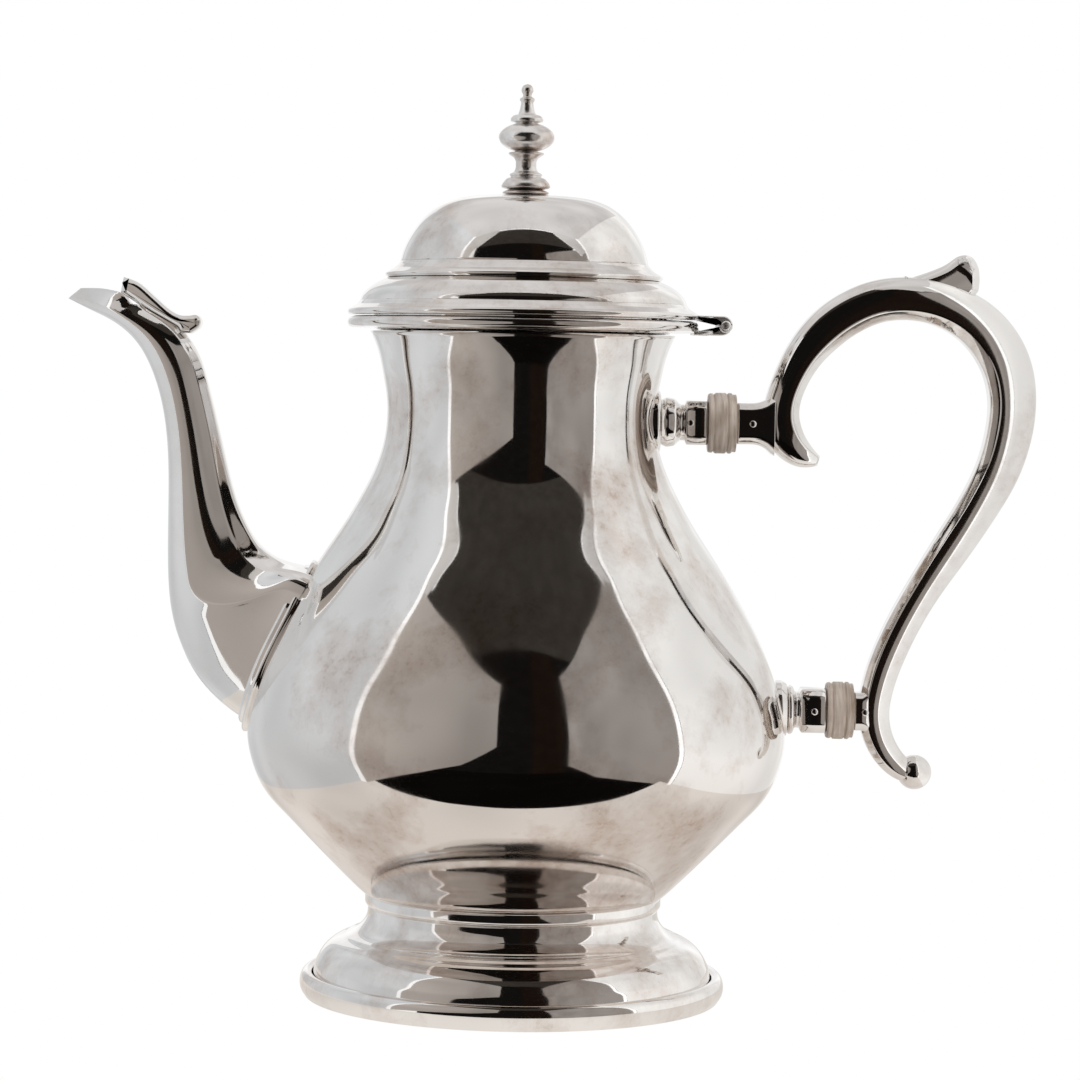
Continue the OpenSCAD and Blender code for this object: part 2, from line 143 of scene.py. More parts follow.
# %% Helpers for surfaces
def mesh_of(name, verts, faces):
    """A smooth mesh. The signed volume is a sixth of the sum, over the triangles
    of all faces, of the corner vectors' triple product; if it is negative the
    faces are turned over."""
    verts = np.asarray(verts, float) * MM
    volume = 0.0
    for block in faces:
        a = verts[block[:, 0]]
        for k in range(1, block.shape[1] - 1):
            b, c = verts[block[:, k]], verts[block[:, k + 1]]
            volume += np.einsum("ij,ij->i", a, np.cross(b, c)).sum()
    lists = []
    for block in faces:
        lists += (block if volume > 0 else block[:, ::-1]).tolist()
    mesh = bpy.data.meshes.new(name)
    mesh.from_pydata(verts.tolist(), [], lists)
    mesh.polygons.foreach_set("use_smooth", np.ones(len(mesh.polygons), bool))
    mesh.update()
    obj = bpy.data.objects.new(name, mesh)
    bpy.context.scene.collection.objects.link(obj)
    return obj


def grid_faces(m, n, loop=False, first=0):
    """Quads of a grid with m rows and n columns. Columns always close up; rows
    close up too when loop is true."""
    i, j = np.meshgrid(np.arange(m if loop else m - 1), np.arange(n), indexing="ij")
    k, right = (i + 1) % m, (j + 1) % n
    quads = [i * n + j, i * n + right, k * n + right, k * n + j]
    return first + np.stack(quads, -1).reshape(-1, 4)


def closed_grid(grid, loop=False, poles=None, flat=False, first=0):
    """Vertices and faces of one closed shell. A grid that isn't a loop is shut
    at both ends: by a fan to a pole, or by one flat face."""
    m, n = grid.shape[:2]
    verts, faces = grid.reshape(-1, 3), [grid_faces(m, n, loop, first)]
    j = np.arange(n)
    if not loop and flat:
        faces += [first + j[None, ::-1], first + (m - 1) * n + j[None]]
    elif not loop:
        poles = np.stack([grid[0].mean(0), grid[-1].mean(0)]) if poles is None else poles
        verts = np.vstack([verts, poles])
        a, b, e = first + m * n, first + m * n + 1, first + (m - 1) * n
        faces += [np.stack([np.full(n, a), first + (j + 1) % n, first + j], 1),
                  np.stack([np.full(n, b), e + j, e + (j + 1) % n], 1)]
    return verts, faces


def joined(name, shells):
    """One mesh made of several closed shells, each (grid, loop, poles, flat)."""
    verts, faces, count = [], [], 0
    for grid, loop, poles, flat in shells:
        v, f = closed_grid(grid, loop, poles, flat, count)
        verts, faces, count = verts + [v], faces + f, count + len(v)
    return mesh_of(name, np.vstack(verts), faces)


AXES = {"z": (0, 1, 2), "x": (2, 1, 0), "y": (0, 2, 1)}


def lathe_grid(outline, turns=288, axis="z", centre=(0, 0, 0)):
    """Outline points are (radius, height); each goes round the axis, so that a
    point is radius times cosine, radius times sine, height."""
    a = 2 * np.pi * np.arange(turns) / turns
    r, h = outline[:, :1], outline[:, 1:]
    p = np.stack([r * np.cos(a), r * np.sin(a), h + 0 * a], -1)
    return p[..., list(AXES[axis])] + np.asarray(centre, float)


def lathe(outline, turns=288, axis="z", centre=(0, 0, 0)):
    """A shell turned from an outline. One that starts and ends on the axis is
    shut by its two poles, and any other one is a closed ring."""
    on_axis = outline[0, 0] < 1e-6 and outline[-1, 0] < 1e-6
    if not on_axis:
        return (lathe_grid(outline, turns, axis, centre), True, None, False)
    poles = lathe_grid(outline[[0, -1]], 1, axis, centre)[:, 0]
    return (lathe_grid(outline[1:-1], turns, axis, centre), False, poles, False)


def ring_of(points, r=0.3, longest=1.5, steps=4):
    """A closed outline with eased corners and no long side."""
    p = eased(points, r, steps, closed=True)
    return dense(np.vstack([p, p[:1]]), longest)[:-1]


def core_of(points, r=0.3, longest=1.5, steps=4):
    """An outline from axis to axis with eased corners and no long side."""
    return dense(eased(points, r, steps), longest)


def plate_grid(outline, width, edge, y=0.0, steps=5):
    """A plate in the XZ plane. Across its width the closed outline shrinks at
    both faces by edge times (1 - cosine), which rounds both rims."""
    a = np.radians(np.linspace(90, 0, steps + 1))
    rounding = 1 - np.cos(a)
    inset = np.r_[rounding, rounding[::-1]] * edge
    half = width / 2 - edge + edge * np.sin(a)
    level = np.r_[half, -half[::-1]]
    loop = np.vstack([outline[-1:], outline, outline[:1]])
    d = np.gradient(loop, axis=0)[1:-1]
    d = d / (np.linalg.norm(d, axis=1, keepdims=True) + 1e-12)
    side = np.stack([-d[:, 1], d[:, 0]], 1)
    after = np.roll(outline, -1, axis=0)
    area = 0.5 * np.sum(outline[:, 0] * after[:, 1] - outline[:, 1] * after[:, 0])
    p = outline[None] + inset[:, None, None] * side[None] * np.sign(area)
    return np.stack([p[..., 0], np.broadcast_to((y + level)[:, None], p.shape[:2]), p[..., 1]], -1)


pieces = []
print("a lathe grid of 2 points and 8 turns:", lathe_grid(np.array([[1, 0], [1, 1]]), 8).shape)


def fit(obj, material, slot, body, *nodes):
    """Gives a piece its finish and its place in the frame."""
    obj.data.materials.append(material)
    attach(obj, body)
    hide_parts(*nodes)
    pieces.append(obj)
    print(f"{obj.name}: {len(obj.data.polygons)} faces, on {body}, for {', '.join(nodes)}")
    return obj


# %% [markdown]
# ## Finishes
# The pot is brass or nickel silver under electroplated silver, polished on a
# mop and then kept for decades. The plate is a near-perfect warm mirror. Age
# shows as thin brownish clouds of tarnish a few centimetres across, as a faint
# haze of hand wear, and as hair-fine scratches from drying cloths.

# %% Node helper and colours
def linear(hex_code):
    """An sRGB hex value as linear red, green, blue and alpha 1: below 0.04045 a
    channel is divided by 12.92, and above it is ((c + 0.055) / 1.055) ** 2.4."""
    c = np.array([int(hex_code[i:i + 2], 16) for i in (1, 3, 5)]) / 255
    c = np.where(c <= 0.04045, c / 12.92, ((c + 0.055) / 1.055)**2.4)
    return (*c.tolist(), 1.0)


def node(tree, kind, links=None, **settings):
    """Adds a node. Settings name its sockets or its own options, and links
    gives, for a socket's name or number, the output that feeds it."""
    n = tree.nodes.new("ShaderNode" + kind)
    for key, value in settings.items():
        socket = n.inputs.get(key.replace("_", " "))
        if socket is not None and not hasattr(n, key):
            socket.default_value = value
        else:
            setattr(n, key, value)
    for key, output in (links or {}).items():
        tree.links.new(output, n.inputs[key])
    return n


def new_material(name):
    """A node material with only its output, and the object's own coordinates."""
    m = bpy.data.materials.new(name)
    m.use_nodes = True
    m.node_tree.nodes.clear()
    t = m.node_tree
    return m, t, node(t, "TexCoord").outputs["Object"], node(t, "OutputMaterial")


# %% [markdown]
# ### Electroplated silver
# Object coordinates are metres, so a noise scale of 40 draws clouds about
# 25 mm across. Tarnish darkens the mirror only a little and makes it warmer.

# %% Silver plate
MIX_A, MIX_B, MIX_OUT = 6, 7, 2     # the colour sockets of a Mix node


def silver_plate(name, tarnish, haze, dents, painted_reflection_below=0.0, polish=0.045):
    """Polished silver plate. Polish is the clean metal's own roughness, tarnish
    the share of brown clouds, and haze the roughness that wear adds to them.
    Dents is the depth in metres of the shallow waves left by the hammer and the
    mop. Low sets a painted reflection of the table: a darker, warmer tint under
    the belly, between 84 and 55 mm above the table."""
    m, t, where, out = new_material(name)
    clouds = node(t, "TexNoise", {"Vector": where}, Scale=38.0, Detail=6.0, Roughness=0.62)
    cloud = node(t, "MapRange", {"Value": clouds.outputs["Fac"]}, From_Min=0.47, From_Max=0.72)
    specks = node(t, "TexNoise", {"Vector": where}, Scale=420.0, Detail=4.0, Roughness=0.7)
    speck = node(t, "MapRange", {"Value": specks.outputs["Fac"]}, From_Min=0.5, From_Max=0.75)
    both = node(t, "Math", {0: cloud.outputs[0], 1: speck.outputs[0]}, operation="MULTIPLY_ADD")
    t.links.new(cloud.outputs[0], both.inputs[2])
    amount = node(t, "Math", {0: both.outputs[0]}, operation="MULTIPLY", use_clamp=True)
    amount.inputs[1].default_value = tarnish
    level = node(t, "SeparateXYZ", {"Vector": where})
    # Painted reflection of the table: between 84 and 55 mm up, the tint turns darker and warmer.
    painted_table_reflection = node(t, "MapRange", {"Value": level.outputs["Z"]}, From_Min=0.084, From_Max=0.055, To_Max=painted_reflection_below)
    total = node(t, "Math", {0: amount.outputs[0], 1: painted_table_reflection.outputs[0]}, operation="ADD", use_clamp=True)
    tint = node(t, "Mix", {"Factor": total.outputs[0]}, data_type="RGBA")
    tint.inputs[MIX_A].default_value = linear("#F1EFED")
    tint.inputs[MIX_B].default_value = linear("#B29A8A")
    rough = node(t, "MapRange", {"Value": cloud.outputs[0]}, To_Min=polish, To_Max=polish + haze)
    waves = node(t, "TexNoise", {"Vector": where}, Scale=55.0, Detail=1.0)
    hairs = node(t, "TexNoise", {"Vector": where}, Scale=2600.0, Detail=2.0)
    wave = node(t, "Bump", {"Height": waves.outputs["Fac"]}, Strength=1.0, Distance=dents)
    hair = node(t, "Bump", {"Height": hairs.outputs["Fac"], "Normal": wave.outputs[0]},
                Strength=0.6, Distance=0.0000012)
    skin = node(t, "BsdfPrincipled", {"Base Color": tint.outputs[MIX_OUT], "Normal": hair.outputs[0],
                                      "Roughness": rough.outputs[0]}, Metallic=1.0)
    t.links.new(skin.outputs[0], out.inputs[0])
    return m


# The last number for the body and the spout sets the painted table reflection under the belly.
body_silver = silver_plate("electroplated_silver_hand_polished", 0.5, 0.07, 0.00007, 0.3)
foot_silver = silver_plate("electroplated_silver_foot", 0.5, 0.07, 0.00005)
filed_silver = silver_plate("filed_silver_hinge", 0.5, 0.1, 0.00001, 0, 0.36)
turned_silver = silver_plate("turned_silver_finial", 0.9, 0.12, 0.00001, 0, 0.2)
cast_silver = silver_plate("cast_silver_plated_fittings", 0.35, 0.05, 0.00002)
spout_silver = silver_plate("cast_silver_spout", 0.15, 0.08, 0.00003, 0.3)
print("silver finishes:", [m.name for m in (body_silver, foot_silver, filed_silver, turned_silver,
                                           cast_silver, spout_silver)])

# %% [markdown]
# ### Ivory-coloured insulators
# The two collars that keep the handle cool are a turned, dense, warm-white
# plastic. Tool marks catch a little grime, so the tint follows a fine noise
# that is squeezed along the turning axis.

# %% Insulator and brass
def turned_ivory():
    """Warm white plastic: the product of a fine noise and a broad one picks the
    colour, and the fine one also raises the tool marks."""
    m, t, where, out = new_material("turned_ivory_plastic")
    rings = node(t, "Mapping", {"Vector": where})
    rings.inputs["Scale"].default_value = (1.0, 0.08, 0.08)
    grain = node(t, "TexNoise", {"Vector": rings.outputs[0]}, Scale=1400.0, Detail=3.0)
    blotch = node(t, "TexNoise", {"Vector": where}, Scale=110.0, Detail=2.0)
    both = node(t, "Math", {0: grain.outputs["Fac"], 1: blotch.outputs["Fac"]}, operation="MULTIPLY")
    tint = node(t, "ValToRGB", {"Fac": both.outputs[0]})
    tint.color_ramp.elements[0].position, tint.color_ramp.elements[1].position = 0.12, 0.42
    tint.color_ramp.elements[0].color = linear("#A39282")
    tint.color_ramp.elements[1].color = linear("#DDD0C5")
    bump = node(t, "Bump", {"Height": grain.outputs["Fac"]}, Strength=0.4, Distance=0.00006)
    skin = node(t, "BsdfPrincipled", {"Base Color": tint.outputs[0], "Normal": bump.outputs[0]},
                Roughness=0.42)
    skin.inputs["Subsurface Weight"].default_value = 0.15
    skin.inputs["Subsurface Radius"].default_value = (0.002, 0.0014, 0.001)
    t.links.new(skin.outputs[0], out.inputs[0])
    return m


def turned_brass():
    """Yellow brass that has gone brown in spots. A spot is also less shiny."""
    m, t, where, out = new_material("turned_brass_aged")
    stain = node(t, "TexNoise", {"Vector": where}, Scale=300.0, Detail=4.0)
    tint = node(t, "ValToRGB", {"Fac": stain.outputs["Fac"]})
    tint.color_ramp.elements[0].position, tint.color_ramp.elements[1].position = 0.35, 0.65
    tint.color_ramp.elements[0].color = linear("#8E6F3E")
    tint.color_ramp.elements[1].color = linear("#CDAE6B")
    rough = node(t, "MapRange", {"Value": stain.outputs["Fac"]}, To_Min=0.2, To_Max=0.45)
    skin = node(t, "BsdfPrincipled", {"Base Color": tint.outputs[0], "Roughness": rough.outputs[0]},
                Metallic=1.0)
    t.links.new(skin.outputs[0], out.inputs[0])
    return m


ivory, brass = turned_ivory(), turned_brass()
SILVER, IVORY, BRASS = "silver_plate", "insulator_ivory", "brass"
print("other finishes:", ivory.name, brass.name)

# %% [markdown]
# ## The body
# The body is one spun sheet. The spinner forces a disc over a chuck, so every
# level is a true circle. The wall here is 1.2 mm: the outside profile goes up
# from the middle of the floor, turns at the lip and comes down again inside.

# %% Body shell
WALL, BELLY_R, BELLY_Z, NECK_R, NECK_Z = 1.2, 75.2, 75.0, 37.5, 163.0
# Between belly and neck: the fraction of the height below the neck, and the
# fraction of the way from the neck's radius to the belly's.
shoulder = np.array([[0.83, 0.92], [0.659, 0.737], [0.489, 0.501], [0.318, 0.244], [0.148, 0.053]])
body_points = np.vstack([
    [[34, 26], [39.5, 27], [43.2, 29.8], [52.2, 38.6], [63, 49.6], [70, 57], [73.8, 65],
     [BELLY_R, BELLY_Z]],
    np.stack([NECK_R + (BELLY_R - NECK_R) * shoulder[:, 1],
              NECK_Z - (NECK_Z - BELLY_Z) * shoulder[:, 0]], 1),
    [[NECK_R, NECK_Z], [39.2, 174.5], [40.6, 180.4], [43.1, 186]]])
body_line = faired(evenly(curve(body_points, 16), 0.5), 4)
body_outside = body_line[::3]


def body_radius(z):
    """Outside radius of the body at height z."""
    return np.interp(z, body_line[:, 1], body_line[:, 0])


floor_out = np.array([[0, 26], [8, 26], [17, 26], [26, 26], [32, 26]], float)
body_inside = beside(body_line, WALL)[::6][::-1]
floor_in = floor_out[::-1] + [0, WALL]
body_outline = np.vstack([floor_out, body_outside, body_inside, floor_in])
pot_body = joined("pot_body", [lathe(body_outline, 288)])
fit(pot_body, body_silver, SILVER, "pot", "body_shell")

# %% [markdown]
# ## Rim and foot
# A wire is soldered round the mouth to stiffen it. The foot is a second spun
# piece: a collar, a hollow scotia, an ogee and a rolled edge to stand on.

# %% Rim and foot
rim = ring_of(np.vstack([[[41.9, 186], [41.9, 189.2]], arc(47.6, 187.6, 1.6, 90, -90, 16),
                         [[43.9, 186]]]), 0.25)
fit(joined("mouth_rim_wire", [lathe(rim)]), body_silver, SILVER, "pot", "mouth_rim")

collar = ring_of([[38, 24.9], [40.6, 24.9], [41.3, 25.8], [41.3, 28.2], [40.9, 28.6], [40.2, 28.6],
                  [38, 26.4]], 0.35)
fit(joined("foot_collar_band", [lathe(collar)]), foot_silver, SILVER, "pot", "foot_collar")

ogee = curve([[55, 8.7], [53.1, 12.2], [50.4, 14.8], [47.2, 16.3]], 8)
scotia = arc(48.2, 24.6, 7.9, 256, 195, 20)
pedestal_out = np.vstack([[[55.8, 4.6]], ogee, scotia, [[40.4, 24.9]]])
pedestal_out = faired(evenly(pedestal_out, 0.4), 1)
pedestal = np.vstack([pedestal_out, beside(pedestal_out, WALL)[::-1]])
fit(joined("foot_pedestal_spun", [lathe(pedestal)]), foot_silver, SILVER, "pot", "foot_pedestal")

RECESS_R, ROLL_R, ROLL_W, ROLL_Z, ROLL_H = 54, 57.15, 2.05, 3.6, 3.3
round_roll = arc(0, 0, 1, -60, 130, 23)
bead = [ROLL_R, ROLL_Z] + round_roll * [ROLL_W, ROLL_H]
roll = ring_of(np.vstack([[[RECESS_R, 0], [ROLL_R + 0.6, 0]], bead, [[55.85, 4.55], [RECESS_R, 4.55]]]), 0.2)
fit(joined("foot_rolled_edge", [lathe(roll)]), foot_silver, SILVER, "pot", "foot_rim")

# %% [markdown]
# ## The spout
# The swan-neck spout is cast in halves and soldered along its middle plane. It
# is panelled: a rounded front, a slightly crowned panel on each side and a
# rounded back, with a crisp crease between them. Each row below is one station:
# the front point, the back point and the half width. The grid runs along the
# stations and round the section, and it is opened along the back as a beak.

# %% Spout surface
spout_stations = np.array([
    [-66, 72, -48, 112, 15.5], [-76, 75.5, -56, 118, 15.2], [-84.5, 81.8, -62.5, 119.5, 14],
    [-91, 89.5, -67.5, 121, 12.6], [-95.5, 99.5, -72.2, 124.2, 11.2],
    [-97.6, 110, -75.6, 129.4, 10.1], [-98.2, 121, -78.8, 136, 9.2], [-98.3, 133, -81.2, 144, 8.4],
    [-98.4, 145, -83.3, 152.5, 7.8], [-99.2, 156.5, -85.5, 161, 7.3], [-101.2, 166.5, -87.8, 169.8, 7],
    [-104.3, 175, -90.6, 178.4, 6.9], [-108.4, 181.6, -96.4, 186, 6.8], [-114.4, 186.5, -104, 190.2, 6.6],
    [-121, 189.5, -112, 195.6, 5.4], [-127.4, 192.6, -123.8, 195.6, 1.6]])
LAST = len(spout_stations) - 1
PER = 12                            # rows between two stations
BEAK = 13                           # station where the back begins to open
FREE = 6 * PER                      # first row that the root doesn't bend
panelled = np.array([[1, 0], [0.99, 0.3], [0.86, 0.56], [0.82, 0.65], [0.6, 0.87], [0.4, 0.975],
                     [0.26, 1], [0.1, 0.74], [0, 0.3], [0, 0]])
rooty = np.array([[1, 0], [0.99, 0.3], [0.97, 0.66], [0.95, 0.8], [0.93, 0.9], [0.9, 0.95],
                  [0.85, 0.98], [0.4, 0.7], [0.05, 0.34], [0, 0]])
corner_r = np.array([0, 1.4, 0.5, 0.5, 3.0, 3.0, 0.6, 12.0, 12.0, 0])
stations = faired(curve(spout_stations, 2 * PER), 10)[::2]


def spout_section(rows, shrink):
    """Rings at the given station numbers. A corner's place in its ring is the
    fraction of the depth from front to back and the fraction of half width.
    From station 5 down to 1.6 the panelled ring turns into the rooty one, so
    the panel ends in a tongue. Past the station BEAK the back half opens: its
    width goes towards the full width in step with the depth. Shrink moves the
    whole ring inwards."""
    at = np.arange(len(stations)) / PER
    s = np.stack([np.interp(rows, at, stations[:, k]) for k in range(5)], -1)
    depth = np.hypot(s[:, 2] - s[:, 0], s[:, 3] - s[:, 1])[:, None]
    width = np.maximum(s[:, 4] - shrink, 0.3)[:, None]
    k = np.clip((rows - 1.6) / 3.4, 0, 1)[:, None, None]
    k = k**2 * (3 - 2 * k)
    u, w = np.moveaxis(rooty + (panelled - rooty) * k, -1, 0)
    opening = np.clip(rows - BEAK, 0, 1)[:, None] * (u > 0.5)
    w = w + (1 - w) * u * opening * (w > 0)
    corners = np.stack([shrink + (depth - 2 * shrink) * u, -width * w], -1)
    side = eased(corners, corner_r, 20)
    ring = np.concatenate([side, (side * [1, -1])[:, -2::-1]], 1)
    d = ((s[:, 2:4] - s[:, 0:2]) / depth)[:, None]
    xz = s[:, None, 0:2] + d * ring[..., :1]
    return np.stack([xz[..., 0], ring[..., 1], xz[..., 1]], -1)


def sampled(grid, at_row, at_col):
    """Points of a grid at fractional rows and columns, two-way linear."""
    r = np.clip(at_row, 0, grid.shape[0] - 1.0001)
    c = np.clip(at_col, 0, grid.shape[1] - 1.0001)
    i, j = r.astype(int), c.astype(int)
    f, g = (r - i)[..., None], (c - j)[..., None]
    return ((grid[i, j] * (1 - f) + grid[i + 1, j] * f) * (1 - g)
            + (grid[i, j + 1] * (1 - f) + grid[i + 1, j + 1] * f) * g)


rows = np.linspace(0, LAST, LAST * PER + 1)
outer, inner = spout_section(rows, 0.0), spout_section(rows, WALL)
around = outer.shape[1]
girth = np.r_[0, np.cumsum(np.linalg.norm(np.diff(outer, axis=1), axis=-1).mean(0))]
density = girth / girth[-1] + np.arange(around) / (around - 1)
cols = np.interp(np.linspace(0, 2, 181), density, np.arange(around))
print("spout grid:", len(rows), "rows,", len(cols), "columns, girth", round(float(girth[-1]), 1), "mm")

# %% [markdown]
# Near its end the casting is filed open. Nothing is cut below the beak; then a
# notch beside the scroll dips to two thirds of the depth, and the lip rises
# again to the tip. The columns slide away from the back by just that much. At
# the other end each column starts where it leaves the body.

# %% Open the beak and fit the root
edge = np.interp(rows, [0, 13.1, 13.4, 13.9, 14.5, 15], [1.01, 1.01, 0.74, 0.92, 0.98, 1.0])
half = around // 2
beak_ring = outer[BEAK * PER]
depth_of = np.linalg.norm((beak_ring - beak_ring[half])[:half + 1, [0, 2]], axis=1)
start = np.interp(-edge, -depth_of / depth_of[0], np.arange(half + 1))
start = np.where(edge >= 1, 0, start)
middle = (around - 1) / 2
from_seam = np.minimum(cols, around - 1 - cols)
slide = np.clip(1 - from_seam / (0.62 * middle), 0, 1) * np.where(cols <= middle, 1, -1)
columns = cols[None] + start[:, None] * slide[None]


def rooted(grid, sink):
    """Each column starts where it leaves the body, sunk into its wall by sink;
    from row FREE on, the rows stay where they are."""
    gap = np.hypot(grid[..., 0], grid[..., 1]) - body_radius(grid[..., 2]) + sink
    row = np.arange(len(grid))[:, None]
    last = np.where((gap < 0) & (row < FREE - 1), row, 0).max(0)
    j = np.arange(grid.shape[1])
    g0, g1 = gap[last, j], gap[last + 1, j]
    first = last + np.clip(-g0 / (g1 - g0), 0, 1)
    first = np.interp(cols, j, first)
    at_row = np.where(row < FREE, first + (FREE - first) * row / FREE, row + 0 * first)
    return sampled(grid, at_row, columns)


def weld(obj):
    """Merges points closer than a hundredth of a micrometre."""
    b = bmesh.new()
    b.from_mesh(obj.data)
    bmesh.ops.remove_doubles(b, verts=b.verts, dist=1e-8)
    b.to_mesh(obj.data)
    b.free()
    return obj


def spout_faces(m, n, first_lip):
    """Quads of two skins of m rows and n columns each: the outer one, the inner
    one turned over, the rings that join them at both ends, and the two lips
    that join them along the opening, from row first_lip on."""
    i, j = np.meshgrid(np.arange(m - 1), np.arange(n - 1), indexing="ij")
    at = i * n + j
    skin = np.stack([at, at + 1, at + n + 1, at + n], -1).reshape(-1, 4)
    k, top, inside = np.arange(n - 1), (m - 1) * n, m * n
    r = np.arange(first_lip, m - 1) * n
    last = r + n - 1
    return np.vstack([skin, inside + skin[:, ::-1],
                      np.stack([k + 1, k, inside + k, inside + k + 1], 1),
                      np.stack([top + k, top + k + 1, inside + top + k + 1, inside + top + k], 1),
                      np.stack([r, r + n, inside + r + n, inside + r], 1),
                      np.stack([last + n, last, inside + last, inside + last + n], 1)])


skins = np.stack([rooted(outer, 0.3), rooted(inner, 0.3)])
quads = spout_faces(*skins.shape[1:3], np.argmax(start > 0) - 1)
spout = weld(mesh_of("swan_neck_spout", skins.reshape(-1, 3), [quads]))
fit(spout, spout_silver, SILVER, "pot", "spout_tube")

# %% [markdown]
# ## Spout root and scroll
# A cast collar hides the joint between spout and body. It is an oval moulding
# with two beads, bent to the pear shape: every point is laid on the body's
# surface and then lifted along the surface's own normal.

# %% Oval collar and scroll
ROOT, TILT = np.array([-68.9, 0, 97.5]), math.radians(69.3)
normal = np.array([-math.sin(TILT), 0, math.cos(TILT)])
upward = np.array([math.cos(TILT), 0, math.sin(TILT)])


def on_body(p):
    """Moves points along the root's normal until they lie on the body. The gap
    to the surface shrinks each time, as the normal is nearly at right angles."""
    for _ in range(12):
        gap = np.hypot(p[..., 0], p[..., 1]) - body_radius(p[..., 2])
        p = p - gap[..., None] * normal
    return p


def body_normal(p):
    """Across the axis it is the radius, and its rise is minus the profile's
    slope, dR/dz."""
    slope = (body_radius(p[..., 2] + 0.5) - body_radius(p[..., 2] - 0.5))
    r = np.hypot(p[..., 0], p[..., 1])
    d = np.stack([p[..., 0] / r, p[..., 1] / r, -slope], -1)
    return d / np.linalg.norm(d, axis=-1, keepdims=True)


OVAL_LONG, OVAL_WIDE = 25.7, 17.6   # half the oval's length and width
# The moulding's section: the way in from the oval's edge, and the lift.
moulding = eased([[0, -0.3], [0, 0.9], [0.35, 1.4], [1.0, 1.5], [1.5, 1.2], [1.75, 0.9], [2.0, 1.3],
                  [2.4, 2.2], [3.1, 2.6], [4.2, 2.4], [4.6, 1.6], [4.6, -0.3]], 0.3, 4, closed=True)
phi = np.linspace(0, 2 * np.pi, 201)[:-1]
long_r, wide_r = OVAL_LONG - moulding[:, :1], OVAL_WIDE - 0.8 * moulding[:, :1]
oval = (ROOT + (long_r * np.cos(phi))[..., None] * upward
        + (wide_r * np.sin(phi))[..., None] * np.array([0, 1, 0]))
laid = on_body(oval)
oval_grid = laid + moulding[:, 1][:, None, None] * body_normal(laid)
fit(joined("spout_oval_moulding", [(oval_grid, True, None, False)]), cast_silver, SILVER, "pot",
    "spout_flange")

scroll_top = curve([[-111.8, 198.9], [-107.4, 197.2], [-103, 193.5], [-98.9, 190], [-96, 188.5],
                    [-93.3, 188.4], [-91.3, 188.6], [-90, 187.2], [-90.4, 185.2], [-92.8, 183.4]], 8)
scroll = np.vstack([scroll_top, [[-95.8, 183.6], [-96.6, 185], [-104, 189], [-112.6, 194.6]]])
scroll = dense(eased(evenly(scroll, 0.5), 0.2, 2, closed=True), 0.8)
fit(joined("spout_back_scroll", [(plate_grid(scroll, 8.4, 1.7, steps=7), False, None, True)]),
    cast_silver, SILVER, "pot", "spout_scroll")

# %% [markdown]
# ## Handle fixings
# At each end of the handle there are a round boss on the body, a turned bead,
# a cup with eight soft sides, an ivory-coloured collar that stops the heat, and
# a silver pin through each joint. The boss's back follows the round body.

# %% Bosses, sockets, insulators and pins
upper_z, lower_z = 161, 81.2
# Along x: the boss's back and face, the socket's end and the insulator's end.
upper_x, lower_x = (37.4, 38.9, 52.1, 60.1), (73.4, 75.6, 86.6, 94.2)
CHAMFER = 0.66                      # half of a flat side, for a half width of 1
SOCKET_AF = 12.3                    # a socket's width across its flats


def octagon_rings(xs, widths, z, soft, up=1.0, lift=0.0):
    """Eight-sided rings across x, each with its own width across flats and with
    its corners eased. The height is the width times up, and lift raises it."""
    c = CHAMFER
    ring = 0.5 * np.array([[1, c], [c, 1], [-c, 1], [-1, c], [-1, -c], [-c, -1], [c, -1], [1, -c]])
    rings = eased(np.asarray(widths, float)[:, None, None] * ring, soft, 6, closed=True)
    x = np.broadcast_to(np.asarray(xs, float)[:, None], rings.shape[:2])
    up, lift = (np.broadcast_to(v, len(xs))[:, None] for v in (up, lift))
    return np.stack([x, rings[..., 0], z + lift + up * rings[..., 1]], -1)


def boss(name, x, z, r, where):
    """A turned disc of radius r. Its back is pushed forward to the body's
    surface, at x = sqrt(R(z)^2 - y^2), less 0.4 mm that sinks into the wall."""
    back = x[0] - 4
    outline = dense(eased([[0, back], [r, back], [r, x[0] + 0.7], [r - 0.8, x[1]], [0, x[1]]], 0.4, 5), 0.7)
    grid, loop, poles, flat = lathe(outline, 96, "x", (0, 0, z))
    wall = np.sqrt(body_radius(grid[..., 2])**2 - grid[..., 1]**2) - 0.4
    grid[..., 0] = np.maximum(grid[..., 0], np.minimum(wall, x[0] + 0.7))
    poles[0, 0] = x[0] - 0.4
    fit(joined(name, [(grid, loop, poles, flat)]), cast_silver, SILVER, "pot", where)


def socket(name, x, z, bead, where):
    """A turned bead and neck, and an eight-sided cup with a shallow chamfer at
    its foot and its mouth."""
    waist = x[1] + bead
    turned = [[0, x[1]], [6.2, x[1]], [7, x[1] + bead * 0.3], [6.6, x[1] + bead * 0.7], [5, waist],
              [5, waist + 1], [5.8, waist + 1.6], [0, waist + 1.6]]
    xs = np.r_[waist + np.array([0.9, 1.0, 1.3, 1.7]), x[2] - np.array([0.7, 0.3, 0.06, 0])]
    across = SOCKET_AF - 2 * np.array([1.5, 1.1, 0.45, 0, 0, 0.12, 0.45, 0.9])
    cup = octagon_rings(xs, across, z, 0.9)
    fit(joined(name, [lathe(core_of(turned, 0.5, 0.8), 96, "x", (0, 0, z)), (cup, False, None, True)]),
        cast_silver, SILVER, "pot", where)


